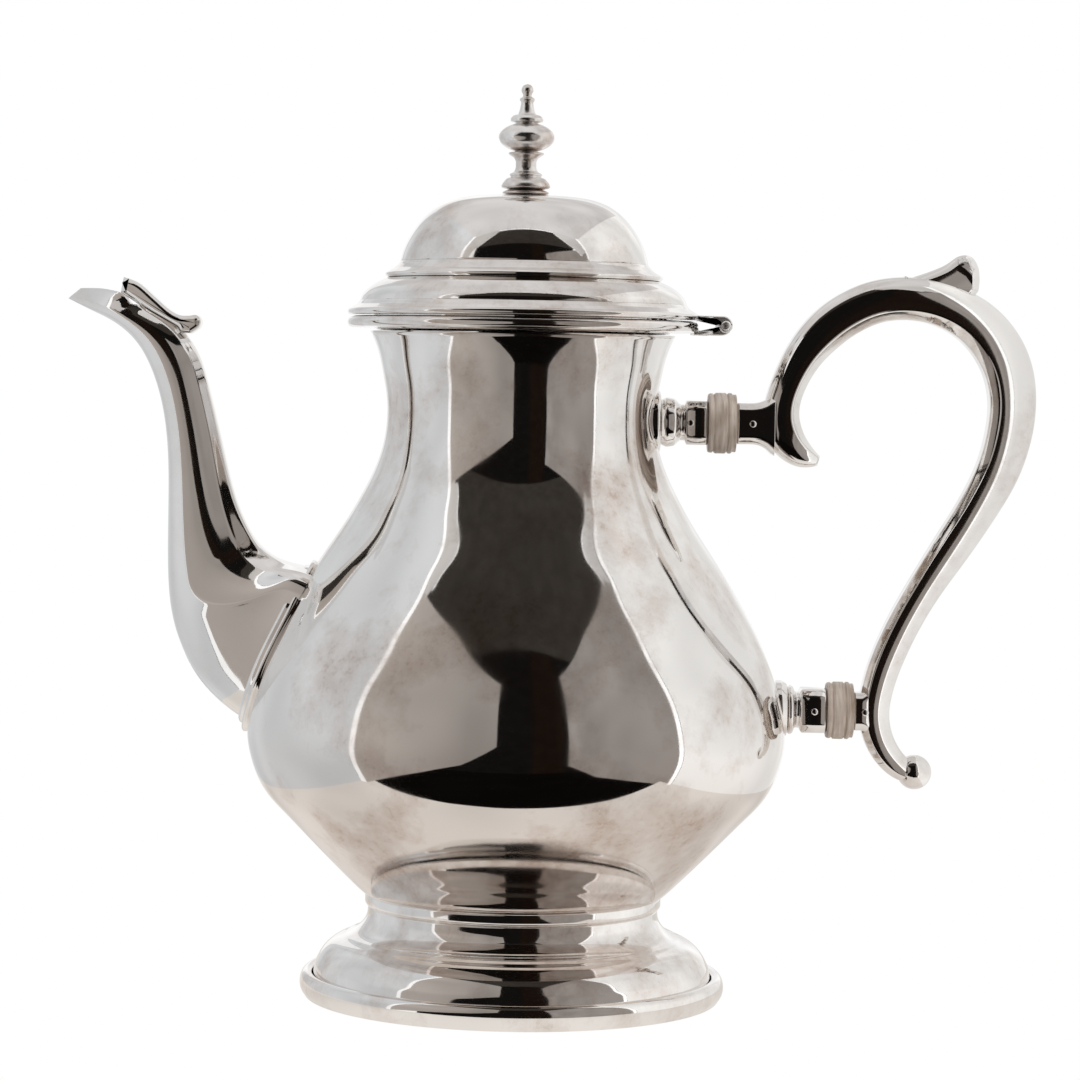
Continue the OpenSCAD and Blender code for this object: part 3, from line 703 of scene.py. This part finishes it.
def insulator(name, x, z, r, where):
    """A turned collar of radius r with grooves. Each point is a radius and a
    fraction of the collar's length; a film of cement is left at both ends."""
    w, gap = x[3] - x[2], 0.05
    ring = np.array([[r - 0.5, 0], [r - 0.2, 0.06], [r - 0.2, 0.16], [r - 0.6, 0.2], [r, 0.26],
                     [r, 0.62], [r - 0.5, 0.67], [r, 0.72], [r, 0.82], [r - 0.5, 0.87],
                     [r - 0.4, 0.99], [r - 0.8, 1]])
    ring[:, 1] = x[2] + gap + ring[:, 1] * (w - 2 * gap)
    outline = np.vstack([[[0, x[2] + gap]], ring, [[0, x[3] - gap]]])
    turned = lathe(core_of(outline, 0.22, 0.6), 128, "x", (0, 0, z))
    fit(joined(name, [turned]), ivory, IVORY, "pot", where)


boss("upper_boss_disc", upper_x, upper_z, 9.1, "upper_boss")
boss("lower_boss_disc", lower_x, lower_z, 8.1, "lower_boss")
socket("upper_socket_cup", upper_x, upper_z, 5.6, "upper_socket")
socket("lower_socket_cup", lower_x, lower_z, 2.4, "lower_socket")
insulator("upper_insulator_collar", upper_x, upper_z, 8.5, "upper_insulator")
insulator("lower_insulator_collar", lower_x, lower_z, 8, "lower_insulator")

pins = []
for x, z in ((upper_x[2] - 4.9, upper_z), (upper_x[3] + 4.4, upper_z), (lower_x[2] - 3.5, lower_z),
             (lower_x[3] + 3, lower_z)):
    outline = eased([[0, -6.45], [0.7, -6.4], [1, -6.15], [1, 6.15], [0.7, 6.4], [0, 6.45]], 0.25, 3)
    pins.append(lathe(dense(outline, 1.5), 32, "y", (x, 0, z)))
fit(joined("handle_pins", pins), cast_silver, SILVER, "pot", "rivet_pins")

# %% [markdown]
# ## The handle
# The handle is a cast scroll: a rounded back, flat sides and a bevel on each
# inner edge. Its section is carried along a middle line. At a station with
# direction (dx, dz), a corner sits at centre + (-dz, dx) * depth fraction, and
# its half width goes across. The corners are eased, as polishing wears them.

# %% Handle scroll
handle_stations = np.array([
    [83.2, 150.9, 3, 5], [79.6, 152, 7, 8], [75.8, 154.6, 9.4, 10], [73, 159, 10.6, 11],
    [72.4, 164.6, 10, 11.2], [74, 171.2, 9.6, 11.2], [78, 179.6, 10.4, 11.2], [83.4, 186.4, 11.6, 11.4],
    [90, 191.8, 12, 11.6], [98.2, 195.7, 12, 11.8], [107.3, 196.9, 12.1, 12], [117, 195.4, 12.4, 12.2],
    [126, 191.1, 13.4, 12.4], [132.5, 184.4, 13.9, 12.6], [136.2, 176.6, 13.8, 12.6],
    [137.4, 167.8, 13.2, 12.4], [136.4, 158.6, 12.9, 12], [133.4, 148.6, 12.2, 11.6],
    [127.6, 137.6, 11.2, 11.2], [120.6, 126.6, 10.6, 10.8], [114, 116.4, 9.6, 10.6],
    [108.4, 106.6, 9.3, 10.4], [104, 97, 9.2, 10.2], [101.2, 88.6, 8.9, 10.2],
    [100, 80.6, 8.6, 10], [101.4, 73.6, 8.2, 9.4], [104.4, 68.4, 7.6, 8.8], [108.4, 64.8, 6.6, 8.2],
    [111.4, 64.0, 5.6, 7]])
spine = faired(evenly(curve(handle_stations, 16), 0.5), 5)
along = np.gradient(spine[:, :2], axis=0)
along = along / np.linalg.norm(along, axis=1, keepdims=True)
grip = np.array([[0.5, 0.36], [0.36, 0.78], [0.1, 1], [-0.28, 1], [-0.5, 0.52]])
loop = np.vstack([grip, grip[::-1] * [1, -1]])
corners = np.stack([loop[:, 0] * spine[:, 2:3], loop[:, 1] * spine[:, 3:4] / 2], -1)
soft = np.r_[2.2, 2.2, 2.2, 0.5, 0.5]
ring = eased(corners, np.r_[soft, soft[::-1]], 6, closed=True)
centre = spine[:, None, :2] + ring[..., :1] * np.stack([-along[:, 1], along[:, 0]], 1)[:, None]
grip_grid = np.stack([centre[..., 0], ring[..., 1], centre[..., 1]], -1)[::2]
BALL_R, STUB_AF = 4.8, 11.5         # the tail's ball, and the stubs across their flats
ball = eased([[0, -BALL_R], *arc(0, 0, BALL_R, -80, 80, 28).tolist(), [0, BALL_R]], 0.05, 1)
# Each stub starts with a small chamfer and then grows taller: the way along it,
# and its height as a multiple of its width.
chamfer_x, chamfer_af = np.array([0, 0.06, 0.4]), np.array([10.3, 11.0, STUB_AF])
run, rise = curve([[0, 1], [3.5, 1], [5.5, 1.06], [7.2, 1.2], [8.5, 1.38], [9.6, 1.5]], 5).T
level_start = np.ones(3)
upper_stub = octagon_rings(upper_x[3] + np.r_[chamfer_x, 1 + run], np.r_[chamfer_af, STUB_AF + 0 * run],
                           upper_z, 0.9, np.r_[level_start, rise],
                           np.r_[0 * level_start, (rise - 1) * -0.5])
lower_stub = octagon_rings(lower_x[3] + np.r_[chamfer_x, 0.6 + 0.42 * run],
                           np.r_[chamfer_af, STUB_AF - 2 * (rise - 1)] - 0.9,
                           lower_z, 0.9, np.r_[level_start, rise])
fit(joined("scroll_handle", [(grip_grid, False, None, True), (upper_stub, False, None, True),
                             (lower_stub, False, None, True), lathe(ball, 64, "y", (111.7, 0, 64.3))]),
    cast_silver, SILVER, "pot", "handle")

spur = np.vstack([curve([[105, 201.6], [112, 203.9], [117.5, 206.2], [121.6, 208.9], [125, 208.9],
                         [127, 206.2], [127.5, 202.6], [127.2, 199.2]], 8), [[124, 195], [108, 199]]])
spur = dense(eased(spur, 0.3, 3, closed=True), 0.8)
spur_grid = plate_grid(spur, 6, 2.2, steps=8)
spur_grid[..., 1] *= np.interp(spur_grid[..., 2], [200, 209], [1, 0.28])
fit(joined("thumb_rest_spur", [(spur_grid, False, None, True)]), cast_silver, SILVER, "pot", "thumb_spur")

# %% [markdown]
# ## The hinge
# Five knuckles on one pin: three belong to the lid and two to the pot. Their
# arms curl round the pin like a C seen from the side. The leaves are soldered
# to the lid's flange and to the mouth wire, so each ends at that round edge.

# %% Hinge leaves and pin
HX, HZ, HINGE_W = 56.2, 188.15, 22  # the pin's place, and the width of the hinge
LEAF_LOW, LEAF_HIGH = 1.45, 2.65    # faces of a leaf, measured from the pin
RIM_R = 49.2                        # outside radius of the mouth wire and the flange
knuckle = HINGE_W / 5


def knuckles(up, places, width):
    """Arms and barrels of one leaf, as closed shells."""
    line = np.vstack([[[48, LEAF_LOW], [53.4, LEAF_LOW], [54.4, 0.9], [54.4, 0]],
                      arc(55.45, 0, LEAF_HIGH, 0, 90, 12), [[48, LEAF_HIGH]]])
    line = dense(eased(line * [1, up] + [0, HZ], 0.15, 2, closed=True), 0.8)
    barrel = eased([[0, -width / 2], [1.9, -width / 2], [1.9, width / 2], [0, width / 2]], 0.8, 6)
    shells = []
    for y in places:
        shells.append((plate_grid(line, width, 0.5, y, 6), False, None, True))
        shells.append(lathe(dense(barrel, 0.8), 48, "y", (HX, y, HZ)))
    return shells


def leaf(up):
    """The flat plate of a leaf. Its inner end at each width follows the round
    edge of the rim that it is soldered to: x = sqrt(RIM_R^2 - y^2)."""
    y = np.linspace(-HINGE_W / 2, HINGE_W / 2, 45)
    inner = np.sqrt(RIM_R**2 - y**2) - 0.6
    z = np.sort([HZ + up * LEAF_LOW, HZ + up * LEAF_HIGH])
    side = eased([[1, z[0]], [1, z[1]], [0, z[1]], [0, z[0]]], 0.2, 3, closed=True)
    x = inner[:, None] + (52.6 - inner[:, None]) * np.clip(side[:, 0], 0, 1)[None]
    y, z = np.broadcast_to(y[:, None], x.shape), np.broadcast_to(side[:, 1], x.shape)
    return np.stack([x, y, z], -1), False, None, True


pot_side = [leaf(-1), *knuckles(-1, (-knuckle, knuckle), knuckle - 0.3)]
lid_side = [leaf(1), *knuckles(1, (-2 * knuckle, 0, 2 * knuckle), knuckle)]
fit(joined("hinge_leaf_of_pot", pot_side), filed_silver, SILVER, "pot", "hinge_body_leaf")
fit(joined("hinge_leaf_of_lid", lid_side), filed_silver, SILVER, "lid", "hinge_lid_leaf")
PIN_R, end = 0.8, HINGE_W / 2 + 0.3
head = np.array([[1.4, 0.05], [1.35, 0.2], [1, 0.5], [0.5, 0.62], [0, 0.65]])
pin_line = np.vstack([(head * [1, -1] - [0, end])[::-1], [[PIN_R, -end + 0.1], [PIN_R, end - 0.1]],
                      head + [0, end]])
fit(joined("hinge_knuckle_pin", [lathe(core_of(pin_line, 0.1, 1.0, 2), 48, "y", (HX, 0, HZ))]),
    filed_silver, SILVER, "pot", "hinge_pin")

# %% [markdown]
# ## The lid
# The lid is spun from thin sheet in four parts soldered together: a flange with
# a rounded edge, a hollow skirt, a small stepped moulding and the dome. Inside,
# a short bezel keeps it central in the mouth.

# %% Lid sheets
def sheet(line, t):
    """Outline of a spun sheet: the outside line and the same line t inside."""
    return np.vstack([line, beside(line, t)[::-1]])


dome = faired(evenly(curve([[34.7, 204.8], [34.2, 207.2], [33.2, 209.9], [31.6, 212.9], [29.6, 215.8],
                            [27.2, 218.4], [24.4, 220.5], [20.6, 222.2], [15.4, 223.2], [8, 223.6],
                            [0, 223.6]], 16), 0.4), 4)
CROWN, DOME_T = 223.6, 1.0          # top of the dome, and its thickness
dome[-1] = [0, CROWN]
under = beside(dome, DOME_T)[::-1]
under[0] = [0, CROWN - DOME_T]
fit(joined("lid_dome_spun", [lathe(np.vstack([under, dome])[::-1])]), body_silver, SILVER, "lid", "lid_dome")

step = ring_of([[33.7, 200.1], [38.2, 200.1], [38.9, 200.9], [38.9, 201.4], [36.6, 202.7], [35.3, 203.9],
                [34.7, 204.8], [33.7, 204.8]], 0.35, 0.8)
fit(joined("lid_step_moulding", [lathe(step)]), body_silver, SILVER, "lid", "lid_step")

skirt = curve([[45.7, 193.7], [45.1, 195.2], [43.6, 197], [41.2, 198.7], [38.2, 200.1]], 10)
fit(joined("lid_hollow_skirt", [lathe(sheet(skirt, 1.1))]), body_silver, SILVER, "lid", "lid_skirt")

flange = ring_of(np.vstack([[[41.45, 189.5]], arc(48.2, 190.5, 1, -90, 80, 14),
                            [[46.6, 192.5], [45.7, 193.7], [44.4, 193.5], [44.6, 191.5],
                             [41.45, 191.1]]]), 0.2, 0.8)
fit(joined("lid_flange_ring", [lathe(flange)]), body_silver, SILVER, "lid", "lid_flange")

bezel = ring_of([[40.2, 185.5], [41, 185.5], [41.4, 186.3], [41.4, 190.7], [40.2, 190.7]], 0.25, 0.8)
fit(joined("lid_bezel_ring", [lathe(bezel)]), body_silver, SILVER, "lid", "lid_bezel")

# %% [markdown]
# ## The finial
# The knob is turned from one bar: a foot, a neck, a flattened bulb and a small
# spire. A brass stud runs down through the dome to a washer and a nut.

# %% Finial and its fixings
bulb = [0, 240] + arc(0, 0, 1, -68, 68, 34) * [7.8, 4.25]
knob = np.vstack([
    [[0, 225.4], [5, 225.4], [6.6, 225.8], [6.9, 226.2], [6.5, 227.2], [5.5, 228.4], [4.2, 228.9],
     [4.6, 229.4], [4.5, 229.8], [3.3, 230.4], [2.9, 231.6], [2.9, 233.2], [3.4, 234.2],
     [4.9, 235.2], [5, 235.7]],
    bulb,
    [[4.6, 244.4], [4.6, 245.3], [3.9, 246.1], [2.5, 246.5], [2.1, 247.6], [1.8, 249], [1.7, 249.8],
     [2.1, 250.3], [2.1, 250.9], [1.2, 251.4], [1.2, 252], [1.7, 252.9], [1.6, 253.9], [1, 254.7], [0, 255]]])
fit(joined("finial_turned_knob", [lathe(core_of(knob, 0.3, 0.5), 128)]), turned_silver, SILVER, "lid",
    "finial_knob")
seat = core_of([[0, 223.65], [5.2, 223.65], [6.5, 224.3], [6.5, 224.7], [5, 225.3], [0, 225.3]], 0.25, 0.6)
fit(joined("finial_seat_disc", [lathe(seat, 128)]), turned_silver, SILVER, "lid", "finial_seat")
stud = core_of([[0, 217.2], [1.5, 217.2], [1.5, 232.2], [0, 232.2]], 0.3, 0.8)
fit(joined("finial_brass_stud", [lathe(stud, 48)]), brass, BRASS, "lid", "finial_stud")
washer = ring_of([[1.6, 221.6], [4.5, 221.6], [4.5, 222.5], [1.6, 222.5]], 0.2, 0.6)
fit(joined("finial_brass_washer", [lathe(washer, 96)]), brass, BRASS, "lid", "finial_washer")
hexagon = eased(arc(0, 0, 3.2, 0, 300, 5), 0.2, 3, closed=True)
# Each level of the nut: the share of its full width, and the height.
levels = np.array([[0.93, 219.1], [1, 219.35], [1, 221.25], [0.93, 221.5]])
nut = np.stack([levels[:, :1] * hexagon[:, 0], levels[:, :1] * hexagon[:, 1],
                np.broadcast_to(levels[:, 1:], (4, len(hexagon)))], -1)
fit(joined("finial_brass_nut", [(nut, False, None, True)]), brass, BRASS, "lid", "finial_nut")

# %% [markdown]
# ## The studio
# A mirror has no look of its own: it shows the room. The room is a small white
# light box with an open front. Two grey flaps stand like half-open doors left
# and right of the camera, and between them the room is dark. Those shapes draw
# the long dark figure on the belly and the bright sides. The cards are seen in
# the silver and light it, but the camera doesn't see them.

# %% Cards
cards = []


def card(name, points, colour, strength, visible=False, even=False, fade=None):
    """A flat card through points in mm. Its glow varies by a tenth or so, unless
    it is even. Fade gives two places in x, in mm: the glow rises by half at the
    first one."""
    p = np.asarray(points, float) * MM
    mesh = bpy.data.meshes.new(name)
    mesh.from_pydata(p.tolist(), [], [list(range(len(p)))])
    obj = bpy.data.objects.new(name, mesh)
    bpy.context.scene.collection.objects.link(obj)
    m, t, where, out = new_material("studio_" + name)
    if even:
        skin = node(t, "Emission", Color=linear(colour), Strength=strength)
    else:
        patch = node(t, "TexNoise", {"Vector": where}, Scale=9.0, Detail=1.0)
        glow = node(t, "MapRange", {"Value": patch.outputs["Fac"]}, From_Min=0.3, From_Max=0.7,
                    To_Min=0.84 * strength, To_Max=1.08 * strength).outputs[0]
        if fade:
            place = node(t, "SeparateXYZ", {"Vector": where})
            side = node(t, "MapRange", {"Value": place.outputs["X"]}, From_Min=fade[0] * MM,
                        From_Max=fade[1] * MM, To_Min=1.5, To_Max=1.0)
            glow = node(t, "Math", {0: glow, 1: side.outputs[0]}, operation="MULTIPLY").outputs[0]
        skin = node(t, "Emission", {"Strength": glow}, Color=linear(colour))
    t.links.new(skin.outputs[0], out.inputs[0])
    mesh.materials.append(m)
    obj.visible_camera = visible
    obj.visible_shadow = visible
    cards.append(obj)
    return obj


# The box's left, right, front, back and top; FAR and DEEP bound the dark room.
L, R, FRONT, BACK, TOP = -150, 158, -92, 330, 375
FAR, DEEP = 1500, -1250
card("base", [[L, -108, -0.2], [R, -112, -0.2], [R + 40, BACK, -0.2], [L - 40, BACK, -0.2]],
     "#EDE8E2", 0.97)
card("left_wall", [[L, FRONT, 0], [L, BACK, 0], [L, BACK, TOP], [L, FRONT, TOP]], "#DFE1E3", 0.95)
card("left_seam", [[-141, -96, 0], [-149, -92, 0], [-149, -92, TOP], [-141, -96, TOP]], "#FFFFFF", 1.2)
card("right_wall", [[R, FRONT, 0], [R, BACK, 0], [R, BACK, TOP], [R, FRONT, TOP]], "#F6F5F3", 1.05)
card("right_seam", [[149, -95, 0], [157, -90, 0], [157, -90, TOP], [149, -95, TOP]], "#FFFFFF", 1.3)
card("back_wall", [[L - 30, BACK, 0], [R + 30, BACK, 0], [R + 30, BACK, TOP], [L - 30, BACK, TOP]],
     "#FAFAFA", 1.05)
card("ceiling", [[L, -100, TOP], [R, -100, TOP], [R, BACK, TOP], [L, BACK, TOP]], "#E2E0DF", 0.93)
card("left_shoulder", [[L, -100, 262], [-116, -100, 254], [-88, -100, 296], [-68, -100, 345],
                       [-62, -100, TOP], [L, -100, TOP]], "#D8D4D0", 0.9)
card("right_shoulder", [[R, -100, 292], [124, -100, 268], [94, -100, 302], [74, -100, 345], [68, -100, TOP],
                        [R, -100, TOP]], "#DCD9D6", 0.9)
card("left_edge", [[-116, -101, 254], [-88, -101, 296], [-68, -101, 345], [-62, -101, TOP], [-70, -101, TOP],
                   [-76, -101, 347], [-96, -101, 299], [-124, -101, 256]], "#FFFFFF", 1.2)
card("right_edge", [[124, -101, 268], [94, -101, 302], [74, -101, 345], [68, -101, TOP], [76, -101, TOP],
                    [82, -101, 347], [102, -101, 305], [132, -101, 270]], "#FFFFFF", 1.2)
card("ceiling_edge", [[-64, -101, 368], [70, -101, 368], [70, -101, TOP], [-64, -101, TOP]], "#FFFFFF", 1.3)
card("left_flap", [[-141, -96, 0], [-60, -180, 45], [-24, -215, 92], [-24, -215, 205], [-141, -96, 265]],
     "#A39C96", 0.88, fade=(-135, -55))
card("right_flap", [[155, -90, 0], [185, -300, -60], [178, -476, -20], [178, -476, 480], [155, -90, 300]],
     "#A09994", 0.9)
card("dark_room", [[-FAR, DEEP, -400], [FAR, DEEP, -400], [FAR, DEEP, FAR], [-FAR, DEEP, FAR]],
     "#2A2725", 0.3)
card("dark_top", [[-FAR, DEEP, FAR], [FAR, DEEP, FAR], [900, -102, 900], [-900, -102, 900]], "#443F3A", 0.7)
card("dark_floor", [[-900, -118, -40], [900, -118, -40], [FAR, DEEP, -400], [-FAR, DEEP, -400]],
     "#1E1B19", 0.3)
card("brown_strip", [[150, DEEP + 10, -400], [450, DEEP + 10, -400], [450, DEEP + 10, FAR],
                     [150, DEEP + 10, FAR]], "#4A3A30", 0.16)

# A lamp that the mirrors don't show lifts the matt parts only.
lamp = bpy.data.lights.new("fill_lamp", "AREA")
lamp.energy, lamp.size = 3.0, 0.6
fill = bpy.data.objects.new("fill_lamp", lamp)
bpy.context.scene.collection.objects.link(fill)
fill.location = (0.1, -0.8, 0.5)
fill.rotation_euler = (math.radians(63), 0, math.radians(7))
fill.visible_glossy = False
fill.visible_camera = False

WIDE, LOW = 3000, -0.4
floor = card("floor", [[-WIDE, -WIDE, LOW], [WIDE, -WIDE, LOW], [WIDE, WIDE, LOW], [-WIDE, WIDE, LOW]],
             "#FFFFFF", 1.0, visible=True, even=True)
floor.visible_glossy = False
floor.visible_diffuse = False
print(len(cards), "cards and one lamp")

# %% [markdown]
# ## Camera
# A long lens about a metre away keeps the pot's uprights parallel. It is shifted
# a little, so that the camera can look level and still frame the whole pot, and
# it is turned about its own axis by one degree.

# %% Camera, world and finish
world = bpy.data.worlds.new("white_room")
bpy.context.scene.world = world
world.use_nodes = True
sky = world.node_tree.nodes["Background"]
sky.inputs["Color"].default_value = (1, 1, 1, 1)
sky.inputs["Strength"].default_value = 1.0
lens = bpy.data.cameras.new("long_lens")
camera = bpy.data.objects.new("long_lens", lens)
bpy.context.scene.collection.objects.link(camera)
bpy.context.scene.camera = camera
FOCAL, SENSOR, DISTANCE, HEIGHT, ROLL = 120.2, 36.0, 1010, 175, -1.04
camera.location = (0, -DISTANCE * MM, HEIGHT * MM)
camera.rotation_euler = (math.radians(90), math.radians(ROLL), 0)
lens.lens, lens.sensor_width = FOCAL, SENSOR
lens.shift_x, lens.shift_y = 0.0163, -0.1578
lens.clip_start, lens.clip_end = 0.01, 20
bpy.context.scene.view_settings.view_transform = "Standard"

print(len(pieces), "pieces,", sum(len(o.data.polygons) for o in pieces), "faces")
